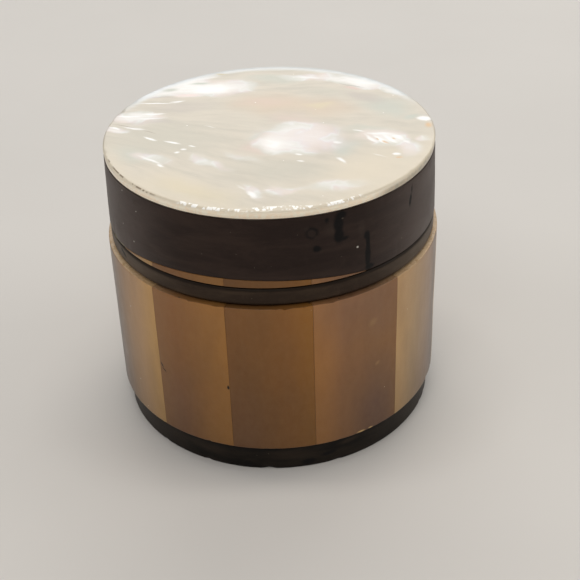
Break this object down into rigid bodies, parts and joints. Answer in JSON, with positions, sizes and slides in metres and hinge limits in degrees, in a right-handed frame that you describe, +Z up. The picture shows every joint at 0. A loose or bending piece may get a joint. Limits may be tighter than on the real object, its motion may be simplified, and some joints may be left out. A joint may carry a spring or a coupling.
{
  "type": "lidded rosin box",
  "caption": "Round turned box clad in mother-of-pearl staves, with a lift-off dark lid topped by a pearl plate and a rosin cake poured into its cup.",
  "frame": {"origin": "centre of the flat underside, on the box's turning axis", "axes": "+Z up along the turning axis, -Y towards the front, where the crescent of shell on the lid's rim is deepest a little to the left"},
  "size_m": [0.045, 0.045, 0.0396],
  "materials": {
    "foot_horn": "satin mottled dark horn",
    "core_wood": "plain turned wood",
    "stave_shell": "polished brown-gold mother-of-pearl",
    "neck_horn": "satin dark horn",
    "rosin": "amber rosin",
    "lid_horn": "satin dark horn",
    "sliver_shell": "polished gold mother-of-pearl",
    "plate_shell": "polished cream mother-of-pearl"
  },
  "bodies": {
    "box": {"foot_disc": "foot_horn", "body_core": "core_wood", "shell_stave_01": "stave_shell", "shell_stave_02": "stave_shell", "shell_stave_03": "stave_shell", "shell_stave_04": "stave_shell", "shell_stave_05": "stave_shell", "shell_stave_06": "stave_shell", "shell_stave_07": "stave_shell", "shell_stave_08": "stave_shell", "shell_stave_09": "stave_shell", "shell_stave_10": "stave_shell", "shell_stave_11": "stave_shell", "shell_stave_12": "stave_shell", "neck_ring": "neck_horn", "rosin_cake": "rosin"},
    "lid": {"lid_body": "lid_horn", "lid_sliver_01": "sliver_shell", "lid_sliver_02": "sliver_shell", "lid_sliver_03": "sliver_shell", "lid_sliver_04": "sliver_shell", "lid_plate": "plate_shell"}
  },
  "joints": [
    {"name": "lid_lift", "type": "slide", "parent": "box", "child": "lid", "axis": [0, 0, 1], "range_m": [0, 0.03]}
  ]
}
